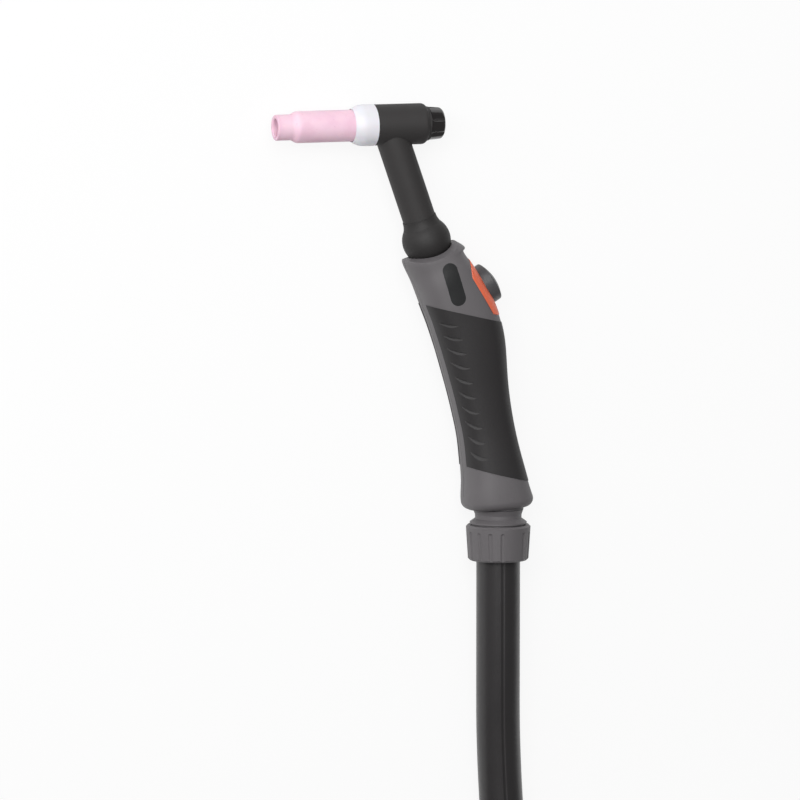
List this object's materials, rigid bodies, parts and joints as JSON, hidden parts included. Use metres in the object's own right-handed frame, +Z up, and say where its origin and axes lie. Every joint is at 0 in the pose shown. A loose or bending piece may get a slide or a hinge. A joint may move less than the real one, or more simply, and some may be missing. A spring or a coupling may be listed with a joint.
{
  "type": "tig torch",
  "caption": "TIG welding torch with a swivelling neck, push-button handle and covered cable, lying on its side",
  "frame": {"origin": "Where the head axis crosses the neck axis, on the axis of the collet that holds the electrode", "axes": "-X is the head axis towards the nozzle's mouth, +Y is from the handle towards the head, +Z is up from the side that the torch lies on"},
  "size_m": [0.2949, 0.6857, 0.075],
  "materials": {
    "ceramic_pink": "matte",
    "ptfe_white": "satin",
    "brass": "satin",
    "copper": "satin",
    "rubber_black": "satin",
    "phenolic_black": "gloss",
    "plastic_grey": "satin",
    "grip_black": "matte",
    "badge_black": "satin",
    "plastic_orange": "satin",
    "plastic_black": "satin",
    "cover_black": "matte",
    "lead_black": "satin",
    "steel": "satin"
  },
  "bodies": {
    "torch": {"nozzle_insulator": "ptfe_white", "collet_body": "brass", "collet": "copper", "head_core": "brass", "neck_tube": "copper", "head_cover": "rubber_black", "neck_boot": "rubber_black", "gas_adapter": "brass", "handle_shell_upper": "plastic_grey", "handle_shell_lower": "plastic_grey", "grip_pad_upper": "grip_black", "grip_pad_lower": "grip_black", "badge_plate": "badge_black", "switch_bezel": "plastic_orange", "handle_screws": "steel", "switch_body": "plastic_black", "cable_spigot": "plastic_grey", "inner_power_cable": "lead_black", "switch_wires": "lead_black", "cable_run": "cover_black", "cable_coil": "cover_black", "cover_cuff": "cover_black", "power_lead": "lead_black", "power_plug": "rubber_black", "power_plug_pin": "brass", "control_lead": "lead_black", "control_plug": "plastic_black", "control_plug_pins": "steel"},
    "nozzle_cup": {"nozzle": "ceramic_pink"},
    "cap_carriage": {"cap_seal": "rubber_black"},
    "cap": {"back_cap": "phenolic_black"},
    "button": {"trigger_button": "plastic_black", "switch_plunger": "plastic_black", "button_spring": "steel"},
    "sleeve": {"clamp_sleeve": "plastic_black"},
    "ring": {"clamp_ring": "plastic_grey"}
  },
  "joints": [
    {"name": "nozzle_turn", "type": "hinge", "parent": "torch", "child": "nozzle_cup", "pos_m": [0, 0, 0], "axis": [-1, 0, 0], "range_deg": [0, 180]},
    {"name": "cap_travel", "type": "slide", "parent": "torch", "child": "cap_carriage", "axis": [1, 0, 0], "range_m": [0, 0.00625]},
    {"name": "cap_turn", "type": "hinge", "parent": "cap_carriage", "child": "cap", "pos_m": [0, 0, 0], "axis": [1, 0, 0], "range_deg": [0, 1800]},
    {"name": "button_press", "type": "slide", "parent": "torch", "child": "button", "axis": [-0.849, -0.5284, 0], "range_m": [0, 0.0015], "stiffness_N_per_m": 1200, "springref_m": -0.001},
    {"name": "ring_travel", "type": "slide", "parent": "torch", "child": "sleeve", "axis": [0, -1, 0], "range_m": [0, 0.006]},
    {"name": "ring_turn", "type": "hinge", "parent": "sleeve", "child": "ring", "pos_m": [0.0638, -0.23, 0], "axis": [0, -1, 0], "range_deg": [0, 1080]}
  ],
  "couplings": [
    {"joint": "cap_turn", "follows": "cap_travel", "rad_per_m": 5026.5},
    {"joint": "ring_turn", "follows": "ring_travel", "rad_per_m": 3141.6}
  ]
}
